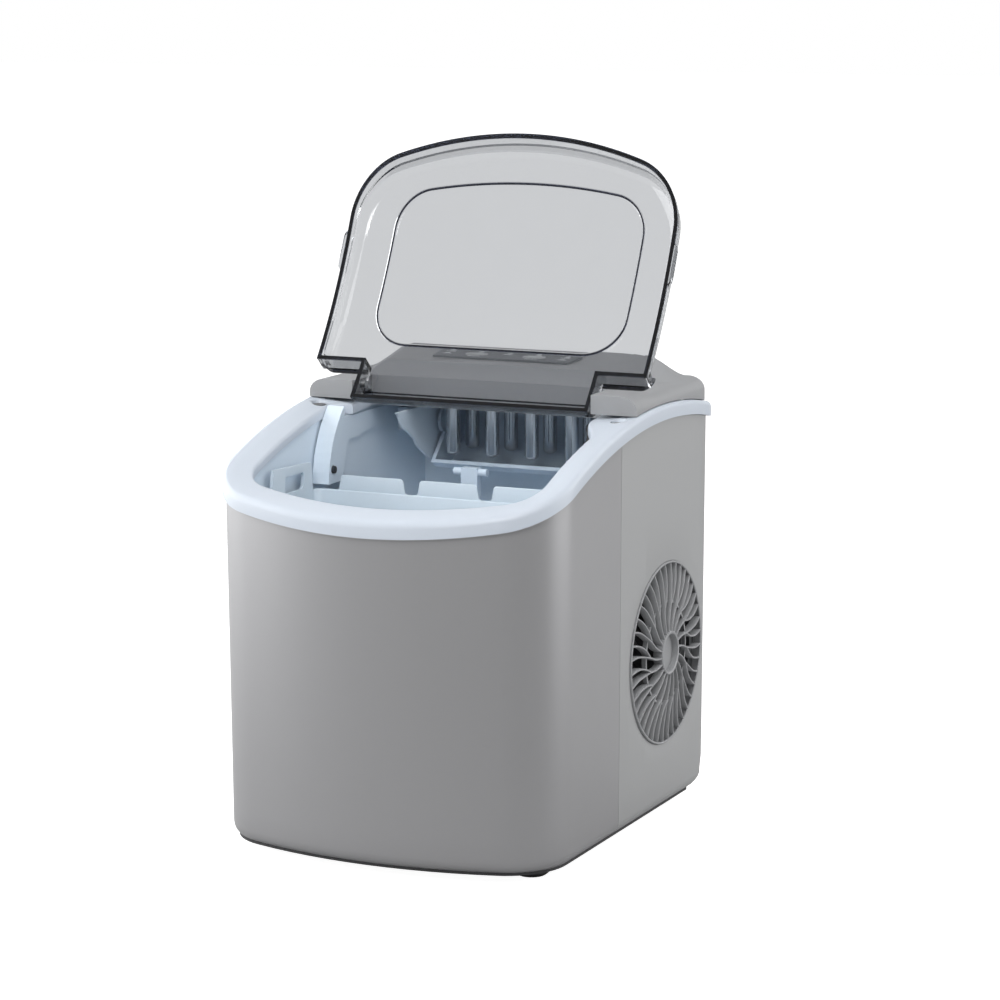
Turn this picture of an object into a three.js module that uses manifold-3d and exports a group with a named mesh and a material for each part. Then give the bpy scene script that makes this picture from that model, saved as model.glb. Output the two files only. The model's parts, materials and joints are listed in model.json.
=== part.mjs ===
// Portable bullet ice maker with its lid open: steel-look body shells on a base pan, a white top rim,
// a hinged smoky lid, an ice basket over a water tank, and the refrigeration parts behind them.
// Millimetres. +Z is up, the front faces -Y, and the origin is on the floor under the middle.
import * as THREE from "three";
import { mergeVertices } from "three/addons/utils/BufferGeometryUtils.js";
import Module from "manifold-3d";

const wasm = await Module();
wasm.setup();

// ---------- driving dimensions ----------
const gap = 0.3; // clearance between touching pieces
const wall = 2.5; // moulded wall thickness
const footHeight = 6;
const shellBottom = footHeight;
const halfDepth = 144; // rim front and rear
const rimHalfWidth = 120.5;
const rimHeight = 10;
const rimWidth = 20;
const rimOverhang = 1.8;
const rimRearOverhang = 4.8;
const cornerRadius = 44.3; // plan radius of the front corners
const frontRadius = 291.8; // the front is one wide arc between them
const shellTaper = 1.6; // the shells draw in this much towards the floor
const seamY = -10.8; // joint between front and rear shells
const archPeakY = 60; // the top line is one long arch that peaks here
const archPeakZ = 267.3;
const archCurve = 0.00128;
const hinge = { y: 24.9, z: 283.8, r: 2.5 };
const lidOpenDegrees = 133;
const lid = { halfWidth: 119.2, front: -143.8, skin: 2.3, peakZ: 291.6, curve: 0.00115, backY: 13.6 };
const tongue = { halfWidth: 85.4, backY: 40 };
const flangeBackY = 12.5;
const ear = { innerX: 86.2, outerX: 118, frontY: 14.2, topZ: 287.4, round: 10 };
const coverBackY = 142.4;
const plateau = { halfWidth: 86, frontY: 43.6, crestY: 107, backY: 130, frontZ: 298, backZ: 301.6 };
const feet = [["front", 93, -92], ["rear", 84, 104]]; // end, distance from the middle, y
// the back leans in near the floor, as (y, z) points
const undercut = [[122.1, 5.9], [131.1, 16.4], [136.1, 39.7], [139.5, 52.9]];
const baseBackY = 122.8;
const inlet = { x: -80, z: 68 };
const vents = { rows: 3, columns: 9, firstY: 24, firstZ: 60, pitchY: 11, pitchZ: 38, width: 5, height: 28 };
const grille = { y: 68.7, z: 111, r: 61, ribs: 20, depth: 3, innerR: 15, outerR: 56, sweep: 0.22 };
const rimScrew = { x: 108, y: 8.4, seatZ: 268.5, headR: 4.4, shankR: 2 };
const tub = { halfWidth: 101.5, backY: 7.5, floorZ: 47.5 };
const chamber = { halfWidth: 89.5, backY: 128.5, floorZ: 182.5 };
const basket = { halfWidth: 97.5, frontY: -118, backY: -17, floorZ: 150, frontZ: 214, backZ: 219.5 };
const grip = { frontY: -79, backY: -24.5, frontZ: 240, backZ: 238 };
const gripSlot = { frontY: -60, backY: -38, lowZ: 222, highZ: 234 };
const sensor = { frontY: -16.6, lowZ: 222, topZ: 271, innerX: -88, y: -10, z: 231, r: 2.5 };
const keys = { x: 21, y: -1.5, width: 16.2, height: 5.6, depth: 3.9 };
const lamps = { x: [-42, -21, 0, 21, 42], y: 6.3, r: 2 };
const finger = { r: 4.75, tipZ: 231, topZ: 273.4, pitch: 29.2, rows: [80, 110] };
const tray = { y: 95, z: 252, inner: 30, wall: 2.5, halfLength: 58, tiltDegrees: 45, reach: 80 };
const pusher = { halfWidth: 70, frontY: 14, backY: 46, topZ: 212, linkX: -12, linkY: 41, linkTopZ: 230 };
const pump = { x: 62, y: -6, r: 12.5, topZ: 84, spoutR: 4.5, spoutZ: 92 };
// the stepped panel behind the sensor cover, as (y, z) points
const sensorPanel = [[1, 222], [2.5, 222], [4.6, 227.9], [12.7, 248.6], [27.3, 247.7], [34.5, 250.7],
  [77.6, 250.8], [77.6, 264], [1, 264]];
// the splash guard beside the tray, as (y, z) points
const guardEdge = [[28.3, 265], [30, 264.6], [32.9, 261.6], [35, 257.6], [38.7, 253.8], [46, 250],
  [54.9, 244.7], [59, 239.5], [64.9, 235.5], [76, 228.6], [89.8, 224.8], [112, 224], [124, 232],
  [124, 262], [60, 265]];
const compressor = { x: -44, y: 70, r: 50, floorZ: 30, mounts: [-84, -4] };
const core = { x0: 42, x1: 78, y0: 16, y1: 126, z0: 56, z1: 166, slots: 10, pitch: 10.6 };
const shroud = { x0: 79, x1: 112.5, half: 57.5, z0: 27, z1: 170 };
const drier = { x: -10, y: 128, z0: 70, z1: 150, r: 7.5 };
const board = { halfWidth: 56, y0: 58, y1: 90, z: 291, thickness: 1.6 };
const drain = { y: -62, z: 60, r: 6.7, capRadius: 10 };
const fan = { x0: 88, x1: 108, r: 50, hub: 19, blades: 7, shaftR: 4 };

// ---------- small geometry tools ----------
const smooth = (color, roughness, metalness = 0) =>
  new THREE.MeshStandardMaterial({ color, roughness, metalness });
const looks = {
  silver: smooth(0xa6a7a9, 0.42, 0.75),
  greyPlastic: smooth(0x9da0a2, 0.6),
  white: smooth(0xdfe7f0, 0.35),
  smoke: smooth(0x55595f, 0.15),
  liner: smooth(0xb9c8d4, 0.45),
  basketBlue: smooth(0xc3d2df, 0.45),
  trayBlue: smooth(0x7c93a6, 0.5),
  overlay: smooth(0x6d7176, 0.5),
  key: smooth(0xa9adb1, 0.5),
  lens: smooth(0xe8edf2, 0.3),
  nickel: smooth(0xc4c6c9, 0.2, 1),
  steel: smooth(0x9a9da1, 0.35, 0.9),
  copper: smooth(0xb8703f, 0.35, 1),
  black: smooth(0x1c1d1f, 0.55),
  rubber: smooth(0x2b2c2e, 0.9),
  board: smooth(0x2f6b3c, 0.6),
  fins: smooth(0xc9ccd0, 0.4, 0.9),
};

function solid(geometry) {
  const plain = geometry.index ? geometry.toNonIndexed() : geometry.clone();
  plain.deleteAttribute("normal");
  plain.deleteAttribute("uv");
  const merged = mergeVertices(plain, 1e-4);
  const vertProperties = new Float32Array(merged.attributes.position.array);
  const triVerts = new Uint32Array(merged.index.array);
  return new wasm.Manifold(new wasm.Mesh({ numProp: 3, vertProperties, triVerts }));
}

function surface(manifold) {
  const mesh = manifold.getMesh();
  const geometry = new THREE.BufferGeometry();
  geometry.setAttribute("position", new THREE.BufferAttribute(new Float32Array(mesh.vertProperties), 3));
  geometry.setIndex(new THREE.BufferAttribute(new Uint32Array(mesh.triVerts), 1));
  geometry.computeVertexNormals();
  return geometry;
}

function joined(...solids) {
  return solids.reduce((whole, piece) => whole.add(piece));
}

function block(x0, x1, y0, y1, z0, z1) {
  const geometry = new THREE.BoxGeometry(x1 - x0, y1 - y0, z1 - z0);
  return solid(geometry.translate((x0 + x1) / 2, (y0 + y1) / 2, (z0 + z1) / 2));
}

const vertexList = (pairs) => new THREE.Shape(pairs.map(([a, b]) => new THREE.Vector2(a, b)));
const extrude = (shape, depth, segments = 10) =>
  new THREE.ExtrudeGeometry(shape, { depth, bevelEnabled: false, curveSegments: segments });

// A plan (x, y) outline raised from z0 to z1.
function upright(shape, z0, z1, segments) {
  return solid(extrude(shape, z1 - z0, segments).translate(0, 0, z0));
}

// A side view (y, z) outline swept from x0 to x1.
function acrossX(shape, x0, x1, segments) {
  const turn = new THREE.Matrix4().makeBasis(
    new THREE.Vector3(0, 1, 0), new THREE.Vector3(0, 0, 1), new THREE.Vector3(1, 0, 0));
  return solid(extrude(shape, x1 - x0, segments).applyMatrix4(turn).translate(x0, 0, 0));
}

// A front view (x, z) outline swept from y0 to y1.
function alongY(shape, y0, y1, segments) {
  const turn = new THREE.Matrix4().makeBasis(
    new THREE.Vector3(1, 0, 0), new THREE.Vector3(0, 0, 1), new THREE.Vector3(0, -1, 0));
  return solid(extrude(shape, y1 - y0, segments).applyMatrix4(turn).translate(0, y1, 0));
}

function rod(from, to, r, sides = 20) {
  const a = new THREE.Vector3(...from);
  const b = new THREE.Vector3(...to);
  const geometry = new THREE.CylinderGeometry(r, r, a.distanceTo(b), sides);
  const turn = new THREE.Quaternion().setFromUnitVectors(
    new THREE.Vector3(0, 1, 0), b.clone().sub(a).normalize());
  const middle = a.add(b).multiplyScalar(0.5);
  return solid(geometry.applyQuaternion(turn).translate(middle.x, middle.y, middle.z));
}

function pipe(points, r, steps, sides = 8) {
  const path = new THREE.CatmullRomCurve3(points.map((p) => new THREE.Vector3(...p)), false, "centripetal");
  const ring = new THREE.Shape().absarc(0, 0, r, 0, 2 * Math.PI);
  return solid(new THREE.ExtrudeGeometry(ring, { steps, extrudePath: path, curveSegments: sides / 2 }));
}

function lathe(profile, x, y, z, sides = 24) {
  const points = profile.map(([r, h]) => new THREE.Vector2(r, h));
  return solid(new THREE.LatheGeometry(points, sides).rotateX(Math.PI / 2).translate(x, y, z));
}

function turned(geometry, degrees, y, z) {
  return geometry.translate(0, -y, -z).rotateX(THREE.MathUtils.degToRad(degrees)).translate(0, y, z);
}

const group = new THREE.Group();
function add(name, shape, material) {
  const mesh = new THREE.Mesh(shape.isBufferGeometry ? shape : surface(shape), material);
  mesh.name = name;
  group.add(mesh);
  return mesh;
}

// ---------- the shapes that many pieces share ----------
const arch = (y, lift = 0) => archPeakZ + lift - archCurve * (y - archPeakY) ** 2;

// Plan outline of the body, moved in by inset: a wide front arc, round front corners, and a rear at backY.
function bodyPlan(halfWidth, frontY, inset, backY, rearRadius = 8) {
  const w = halfWidth - inset;
  const front = frontY + inset;
  const wide = frontRadius - inset;
  const round = cornerRadius - inset;
  const along = Math.sqrt((wide - round) ** 2 - (w - round) ** 2);
  const cornerY = front + wide - along;
  const meet = Math.asin(along / (wide - round));
  const rear = Math.max(rearRadius - inset, 0.5);
  const shape = new THREE.Shape();
  shape.moveTo(w, cornerY);
  shape.lineTo(w, backY - rear);
  shape.absarc(w - rear, backY - rear, rear, 0, Math.PI / 2);
  shape.absarc(-w + rear, backY - rear, rear, Math.PI / 2, Math.PI);
  shape.lineTo(-w, cornerY);
  shape.absarc(-w + round, cornerY, round, Math.PI, Math.PI + meet);
  shape.absarc(0, front + wide, wide, Math.PI + meet, 2 * Math.PI - meet);
  shape.absarc(w - round, cornerY, round, -meet, 0);
  return shape;
}

// Side view region between two lines z = low(y) and z = high(y).
function band(y0, y1, low, high, count = 20) {
  const ys = Array.from({ length: count + 1 }, (_, i) => y0 + ((y1 - y0) * i) / count);
  return vertexList([...ys.map((y) => [y, low(y)]), ...ys.reverse().map((y) => [y, high(y)])]);
}

const underArch = (lift) => acrossX(band(-160, 160, () => -50, (y) => arch(y, lift)), -150, 150);
const overArch = (lift) => acrossX(band(-160, 160, (y) => arch(y, lift), () => 400), -150, 150);

function tapered(manifold) {
  const geometry = surface(manifold);
  const place = geometry.attributes.position;
  for (let i = 0; i < place.count; i += 1) {
    const drop = Math.max(0, (archPeakZ - place.getZ(i)) / (archPeakZ - shellBottom));
    const side = place.getX(i) / rimHalfWidth;
    const front = Math.min(0, place.getY(i)) / halfDepth;
    place.setX(i, place.getX(i) - side * shellTaper * drop);
    place.setY(i, place.getY(i) - front * shellTaper * drop);
  }
  return solid(geometry);
}

// ---------- base, feet and shells ----------
const shellHalf = rimHalfWidth - rimOverhang;
const shellFront = -halfDepth + rimOverhang;
const shellBack = halfDepth - rimRearOverhang;

function buildBase() {
  const basePlan = (inset) =>
    bodyPlan(shellHalf - shellTaper, shellFront + shellTaper, inset, baseBackY - inset);
  const outer = upright(basePlan(wall + 1), 6, 26, 6);
  const inner = upright(basePlan(2 * wall + 1), 9, 30, 6);
  add("base_pan", outer.subtract(inner), looks.black);
  const footProfile = [[0, 0], [9, 0], [11, 1.5], [11, footHeight - gap], [0, footHeight - gap]];
  for (const [end, x, y] of feet) {
    add(`foot_${end}_left`, lathe(footProfile, -x, y, 0), looks.rubber);
    add(`foot_${end}_right`, lathe(footProfile, x, y, 0), looks.rubber);
  }
}

function buildShells() {
  const outline = (inset) => bodyPlan(shellHalf, shellFront, inset, shellBack - inset);
  const leaning = (inset) => acrossX(vertexList([
    [-200, -20], [undercut[0][0] - inset, -20], ...undercut.map(([y, z]) => [y - inset, z]),
    [200, undercut[3][1]], [200, 400], [-200, 400]]), -150, 150);
  const outside = upright(outline(0), shellBottom, 300, 10).intersect(leaning(0));
  const skin = outside.subtract(upright(outline(wall), 0, 310, 10).intersect(leaning(wall)));
  const cut = tapered(skin.intersect(underArch(0)));
  const front = cut.intersect(block(-150, 150, -200, seamY - gap / 2, -10, 400))
    .subtract(rod([-130, drain.y, drain.z], [-100, drain.y, drain.z], drain.capRadius + gap, 20));
  let rear = cut.intersect(block(-150, 150, seamY + gap / 2, 200, -10, 400));
  rear = rear.subtract(rod([100, grille.y, grille.z], [140, grille.y, grille.z], grille.r + gap, 40));
  for (let row = 0; row < vents.rows; row += 1) {
    for (let column = 0; column < vents.columns; column += 1) {
      const y = vents.firstY + column * vents.pitchY;
      const z = vents.firstZ + row * vents.pitchZ;
      rear = rear.subtract(block(-130, -100, y, y + vents.width, z, z + vents.height));
    }
  }
  rear = rear.subtract(rod([inlet.x, 120, inlet.z], [inlet.x, 160, inlet.z], 8.3, 20));
  add("front_shell", front, looks.silver);
  add("rear_shell", rear, looks.silver);
}

function sCurve(angle, r0, r1, sweep, count = 4) {
  return Array.from({ length: count + 1 }, (_, i) => {
    const t = i / count;
    const a = angle + sweep * Math.sin(Math.PI * (t - 0.5));
    return [grille.y + (r0 + (r1 - r0) * t) * Math.cos(a), grille.z + (r0 + (r1 - r0) * t) * Math.sin(a)];
  });
}

function buildGrille() {
  const shape = new THREE.Shape().absarc(grille.y, grille.z, grille.r - gap, 0, 2 * Math.PI);
  const step = (2 * Math.PI) / grille.ribs;
  for (let i = 0; i < grille.ribs; i += 1) {
    const near = sCurve(i * step + 0.05, grille.innerR, grille.outerR, grille.sweep);
    const far = sCurve((i + 1) * step - 0.05, grille.innerR, grille.outerR, grille.sweep).reverse();
    shape.holes.push(new THREE.Path([...near, ...far].map(([y, z]) => new THREE.Vector2(y, z))));
  }
  const outerX = shellHalf - 1;
  add("fan_grille", acrossX(shape, outerX - grille.depth, outerX, 24), looks.greyPlastic);
}

// ---------- top rim, rear cover and control panel ----------
function rimOpening() {
  const shape = bodyPlan(rimHalfWidth, -halfDepth, rimWidth, 16, rimWidth + 12);
  const main = upright(shape, 150, 350, 10);
  const sensorSide = block(-rimHalfWidth + rimWidth, -60, -40, ear.frontY - gap, 150, 350);
  return joined(main, sensorSide, block(-ear.innerX, ear.innerX, -30, 131, 150, 350));
}

function buildRim() {
  const s = rimScrew;
  const along = (x, z0, z1, r, sides) => rod([x, s.y, z0], [x, s.y, z1], r, sides);
  const seat = (x) =>
    along(x, s.seatZ - 0.5, 290, s.headR + 0.6, 16).add(along(x, 255, 275, s.shankR + gap, 12));
  const outline = upright(bodyPlan(rimHalfWidth, -halfDepth, 0, halfDepth), 180, 300, 12);
  let rim = outline.subtract(rimOpening()).intersect(overArch(gap)).intersect(underArch(rimHeight));
  rim = rim.subtract(seat(-s.x)).subtract(seat(s.x));
  add("top_rim", rim, looks.white);
  for (const [side, x] of [["left", -s.x], ["right", s.x]]) {
    const head = along(x, s.seatZ, s.seatZ + 2.8, s.headR, 16);
    const cross = block(x - 3.2, x + 3.2, s.y - 0.5, s.y + 0.5, s.seatZ + 1.7, 275)
      .add(block(x - 0.5, x + 0.5, s.y - 3.2, s.y + 3.2, s.seatZ + 1.7, 275));
    const screw = head.subtract(cross).add(along(x, s.seatZ - 10.5, s.seatZ + 0.2, s.shankR, 12));
    add(`rim_screw_${side}`, screw, looks.steel);
  }
}

function coverShape(inset, lift) {
  const half = ear.outerX - inset;
  const top = ear.topZ - inset;
  const r = ear.round - inset / 2;
  const section = new THREE.Shape();
  section.moveTo(-half, 240).lineTo(half, 240).lineTo(half, top - r);
  section.absarc(half - r, top - r, r, 0, Math.PI / 2);
  section.lineTo(-half + r, top);
  section.absarc(-half + r, top - r, r, Math.PI / 2, Math.PI);
  const side = new THREE.Shape();
  const back = coverBackY - inset;
  side.moveTo(ear.frontY + inset, 240).lineTo(back, 240).lineTo(back, 268 - inset);
  side.quadraticCurveTo(back - 1, 285 - inset, back - 20, top);
  side.lineTo(ear.frontY + inset, top);
  const body = alongY(section, 0, 160, 6).intersect(acrossX(side, -150, 150, 6));
  const p = plateau;
  const hump = new THREE.Shape();
  hump.moveTo(p.frontY + inset, 270).lineTo(p.frontY + inset, 290 - inset);
  hump.quadraticCurveTo(p.frontY + 6 + inset, 291 - inset, p.frontY + 10 + inset, p.frontZ - inset);
  hump.lineTo(p.crestY - inset / 2, p.backZ - inset);
  hump.quadraticCurveTo(p.crestY + 10 - inset, p.backZ - inset, p.backY - inset, ear.topZ - inset);
  hump.lineTo(p.backY - inset, 270);
  const rise = acrossX(hump, -p.halfWidth + inset, p.halfWidth - inset, 6);
  const recess = block(-ear.innerX - inset, ear.innerX + inset, 0, p.frontY + inset, 200, 400);
  return body.add(rise).subtract(recess).intersect(overArch(rimHeight + lift));
}

function buildCover() {
  let cover = coverShape(0, gap).subtract(coverShape(wall, -20));
  cover = cover.subtract(rod([-110, hinge.y, hinge.z], [110, hinge.y, hinge.z], hinge.r + gap, 16));
  for (const x of [-keys.x, keys.x]) {
    cover = cover.subtract(block(x - 9, x + 9, 67, 74, 280, 310));
  }
  add("rear_cover", cover, looks.greyPlastic);
  for (const [side, x] of [["left", -1], ["right", 1]]) {
    const pin = rod([x * 81, hinge.y, hinge.z], [x * 97, hinge.y, hinge.z], hinge.r, 16);
    add(`hinge_pin_${side}`, pin, looks.steel);
  }
}

const plateauSlope = Math.atan2(plateau.backZ - plateau.frontZ, plateau.crestY - plateau.frontY - 10);
const plateauZ = (y) => plateau.frontZ + Math.tan(plateauSlope) * (y - plateau.frontY - 10);
const panelLift = 1.2;

function onPanel(shape, depth, lift, segments = 6) {
  const geometry = extrude(shape, depth, segments);
  geometry.rotateX(plateauSlope).translate(0, 72, plateauZ(72) + lift);
  return geometry;
}

function oval(x, y, w, h) {
  const shape = new THREE.Shape().absarc(x + w / 2 - h / 2, y, h / 2, -Math.PI / 2, Math.PI / 2);
  return shape.absarc(x - w / 2 + h / 2, y, h / 2, Math.PI / 2, 1.5 * Math.PI);
}

function buildPanel() {
  const strip = vertexList([[-49, -11], [49, -11], [51, 10], [-51, 10]]);
  for (const x of [-keys.x, keys.x]) {
    strip.holes.push(oval(x, keys.y, keys.width + 0.8, keys.height + 0.8));
  }
  for (const x of lamps.x) {
    strip.holes.push(new THREE.Path().absarc(x, lamps.y, lamps.r + gap, 0, 2 * Math.PI));
  }
  add("control_panel", onPanel(strip, panelLift, gap), looks.overlay);
  for (const [name, x] of [["power_button", -keys.x], ["size_button", keys.x]]) {
    add(name, onPanel(oval(x, keys.y, keys.width, keys.height), keys.depth, -2), looks.key);
  }
  lamps.x.forEach((x, i) => {
    const lens = new THREE.Shape().absarc(x, lamps.y, lamps.r, 0, 2 * Math.PI);
    add(`indicator_lens_${i + 1}`, onPanel(lens, panelLift, gap), looks.lens);
  });
}

// ---------- lid ----------
const lidTop = (y) => lid.peakZ - lid.curve * (y - archPeakY) ** 2;

function lidBody(inset, ceiling) {
  const sheet = upright(bodyPlan(lid.halfWidth, lid.front, inset, lid.backY, 8), 150, 350, 12);
  const end = tongue.backY - inset;
  const side = new THREE.Shape();
  side.moveTo(-40, 150).lineTo(end, 150).lineTo(end, lid.peakZ - 10 - ceiling);
  side.quadraticCurveTo(end, lid.peakZ - ceiling, tongue.backY - 10, lid.peakZ + 1 - ceiling);
  side.lineTo(-40, lid.peakZ + 1 - ceiling);
  const tail = acrossX(side, -tongue.halfWidth + inset, tongue.halfWidth - inset, 5);
  const under = band(-160, 60, (y) => arch(y, rimHeight + gap), (y) => lidTop(y) - ceiling);
  return sheet.add(tail).intersect(acrossX(under, -150, 150));
}

function buildLid() {
  const skirtCut = block(-150, 150, flangeBackY, 100, 150, 400).subtract(
    block(-tongue.halfWidth, tongue.halfWidth, 0, 100, 100, 450));
  const low = acrossX(band(-170, 80, () => 100, (y) => lidTop(y) - lid.skin), -150, 150);
  let shell = lidBody(0, 0).subtract(skirtCut.intersect(low));
  const hollow = lidBody(lid.skin, lid.skin).add(lidBody(lid.skin, lid.skin + 4).translate([0, 0, -4]));
  const keepWall = block(-150, 150, flangeBackY - lid.skin, 100, 150, 400).subtract(
    block(-tongue.halfWidth + lid.skin, tongue.halfWidth - lid.skin, 0, 100, 100, 450));
  shell = shell.subtract(hollow.subtract(keepWall));
  for (const side of [-1, 1]) {
    const x0 = side > 0 ? lid.halfWidth - 1 : -lid.halfWidth - 2.4;
    const profile = band(-79, -53, (y) => arch(y, rimHeight + gap), (y) => arch(y, rimHeight + 3.3), 6);
    shell = shell.add(acrossX(profile, x0, x0 + 3.4));
  }
  shell = shell.subtract(rod([-110, hinge.y, hinge.z], [110, hinge.y, hinge.z], hinge.r + 0.15, 16));
  add("lid", turned(surface(shell), -lidOpenDegrees, hinge.y, hinge.z), looks.smoke);
}

// ---------- tub, basket and sensor ----------
function tubPlan(inset, backY) {
  const shift = rimHalfWidth - tub.halfWidth;
  return bodyPlan(rimHalfWidth, -halfDepth, shift + inset, backY, shift + inset + 6);
}

function buildTub() {
  const recess = (grow, top) => block(-chamber.halfWidth - grow, chamber.halfWidth + grow, 0,
    chamber.backY + grow, chamber.floorZ - grow, top);
  const outer = upright(tubPlan(-wall, tub.backY + wall), tub.floorZ - wall, 300, 10).add(recess(wall, 300));
  const inner = upright(tubPlan(0, tub.backY), tub.floorZ, 310, 10).add(recess(0, 310));
  const outlet = rod([-110, drain.y, drain.z], [-90, drain.y, drain.z], drain.r + gap, 16);
  const ledges = [-1, 1].map((s) => block(s * 96.9 - 5, s * 96.9 + 5, -96, -34, 143, basket.floorZ - gap));
  const hollow = outer.subtract(inner).subtract(outlet).intersect(underArch(-gap));
  add("inner_liner", joined(hollow, ...ledges), looks.liner);
  const plug = rod([-119.6, drain.y, drain.z], [-101, drain.y, drain.z], drain.r, 16);
  const cap = rod([-119.8, drain.y, drain.z], [-115.4, drain.y, drain.z], drain.capRadius, 20);
  const tab = block(-121, -118, drain.y - 1.5, drain.y + 1.5, drain.z - 8, drain.z + 8);
  add("drain_plug", joined(plug, cap, tab), looks.rubber);
}

function buildSensor() {
  const s = sensor;
  const face = new THREE.Shape();
  face.moveTo(s.frontY, s.lowZ).lineTo(3, s.lowZ).lineTo(3, 264.5).lineTo(7, 264.5);
  face.lineTo(7, s.topZ).lineTo(6, s.topZ);
  face.quadraticCurveTo(-15, 250, s.frontY, s.lowZ);
  const pocket = rod([s.innerX - 2, s.y, s.z], [-80, s.y, s.z], s.r + 0.4, 16);
  const side = rimHalfWidth - rimWidth - gap;
  const lug = block(-tub.halfWidth + gap, -side + 1, -12, 2, 226, 240);
  const panel = acrossX(vertexList(sensorPanel), -chamber.halfWidth + gap, s.innerX);
  add("sensor_cover", joined(acrossX(face, -side, s.innerX, 8), lug, panel).subtract(pocket), looks.liner);
  const eye = rod([s.innerX - 1.7, s.y, s.z], [s.innerX + 1.5, s.y, s.z], s.r, 16);
  add("ice_full_sensor", eye, looks.black);
}

function buildBasket() {
  const b = basket;
  const plan = (inset) => {
    const shift = rimHalfWidth - b.halfWidth;
    return bodyPlan(rimHalfWidth, b.frontY - shift, shift + inset, b.backY - inset, shift + inset + 3);
  };
  const gripFall = (grip.frontZ - grip.backZ) / (grip.backY - grip.frontY);
  const sideTop = (y) => grip.frontZ - gripFall * (y - grip.frontY);
  const edge = (y) => b.frontZ + ((b.backZ - b.frontZ) * (y - b.frontY)) / (b.backY - b.frontY);
  const rimLine = band(-130, 0, () => 100, edge);
  let shell = upright(plan(0), b.floorZ, 300, 8).subtract(upright(plan(2.2), b.floorZ + 2.2, 310, 8));
  const grips = shell.intersect(acrossX(band(grip.frontY, grip.backY, () => 200, sideTop, 8), -150, 150));
  const backTabs = shell.intersect(block(-80, 80, -21, 0, 210, 229.5))
    .subtract(block(-33, -21, -30, 0, 200, 300)).subtract(block(21, 33, -30, 0, 200, 300));
  shell = shell.intersect(acrossX(rimLine, -150, 150)).add(grips).add(backTabs);
  for (const x of [-1, 1]) {
    shell = shell.subtract(block(x * 95 - 10, x * 95 + 10, gripSlot.frontY, gripSlot.backY,
      gripSlot.lowZ, gripSlot.highZ));
  }
  for (let i = -2; i <= 2; i += 1) {
    for (let j = 0; j < 3; j += 1) {
      shell = shell.subtract(block(i * 32 - 9, i * 32 + 9, -96 + j * 26, -90 + j * 26, 140, 160));
    }
  }
  add("ice_basket", shell, looks.basketBlue);
}

// ---------- evaporator, water tray and pusher ----------
function buildEvaporator() {
  const [frontY, rearY] = finger.rows;
  const z = finger.topZ + gap + 5;
  const reach = 2 * finger.pitch;
  const route = [[-reach + 8, frontY, z], [-reach - 4, frontY + 5, z],
    [-reach - 9, (frontY + rearY) / 2, z], [-reach - 4, rearY - 5, z], [-reach + 8, rearY, z]];
  const straight = (y) => rod([-reach + 8, y, z], [80, y, z], 5, 12);
  const bend = pipe(route, 4, 12, 8);
  add("evaporator_tube", joined(straight(frontY), bend, straight(rearY)), looks.copper);
  let count = 1;
  for (const y of finger.rows) {
    for (const x of [-1.5, -0.5, 0.5, 1.5].map((n) => n * finger.pitch)) {
      const rounding = [30, 60].map((d) => {
        const a = THREE.MathUtils.degToRad(d);
        return [finger.r * Math.sin(a), finger.r * (1 - Math.cos(a))];
      });
      const profile = [[0, 0], ...rounding, [finger.r, finger.r], [finger.r, finger.topZ - finger.tipZ],
        [0, finger.topZ - finger.tipZ]];
      add(`freezing_finger_${count}`, lathe(profile, x, y, finger.tipZ, 12), looks.nickel);
      count += 1;
    }
  }
}

function buildTray() {
  const t = tray;
  const start = THREE.MathUtils.degToRad(270 - t.reach + t.tiltDegrees);
  const end = THREE.MathUtils.degToRad(270 + t.reach + t.tiltDegrees);
  const ring = new THREE.Shape().absarc(t.y, t.z, t.inner + t.wall, start, end);
  ring.absarc(t.y, t.z, t.inner, end, start, true);
  const plate = new THREE.Shape().absarc(t.y, t.z, t.inner + t.wall, start, end);
  const trough = acrossX(ring, -t.halfLength, t.halfLength, 16);
  const ends = [-1, 1].map((s) => acrossX(plate, s * t.halfLength - 1.3, s * t.halfLength + 1.3, 16));
  const onAxis = (x0, x1, r) => [-1, 1].map((s) => rod([s * x0, t.y, t.z], [s * x1, t.y, t.z], r, 16));
  const shafts = onAxis(t.halfLength, t.halfLength + 16, 4);
  const bosses = onAxis(t.halfLength - 1.2, t.halfLength + 1.2, 8);
  add("water_tray", joined(trough, ...ends, ...shafts, ...bosses), looks.trayBlue);
  const motor = block(t.halfLength + 16.6, ear.innerX - 0.6, t.y - 16, t.y + 16, t.z - 17, t.z + 17);
  add("tray_gearmotor", motor, looks.liner);
  const guard = acrossX(vertexList(guardEdge), -t.halfLength - 4.4, -t.halfLength - 2.6);
  const bearing = block(-chamber.halfWidth + gap, -t.halfLength - 3, t.y - 8, t.y + 8, t.z - 8, t.z + 8)
    .add(guard).subtract(rod([-80, t.y, t.z], [-50, t.y, t.z], 4.3, 16));
  add("tray_bearing", bearing, looks.liner);
}

function buildPusher() {
  const p = pusher;
  const floorTop = chamber.floorZ + gap;
  const blade = block(-p.halfWidth, p.halfWidth, p.frontY, p.frontY + 3, floorTop, p.topZ);
  const sole = block(-p.halfWidth, p.halfWidth, p.frontY + 2, p.backY, floorTop, floorTop + 3);
  const link = block(p.linkX - 6, p.linkX + 6, p.linkY - 3, p.linkY + 3, floorTop, p.linkTopZ);
  const pin = rod([p.linkX - 12, p.linkY, p.linkTopZ - 3], [p.linkX + 12, p.linkY, p.linkTopZ - 3], 2.6, 12);
  const ribs = [-50, 30, 50].map((x) => block(x - 2, x + 2, p.frontY - 4, p.frontY + 1, 186, 210));
  add("ice_pusher", joined(blade, sole, link, pin, ...ribs), looks.trayBlue);
}

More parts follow.
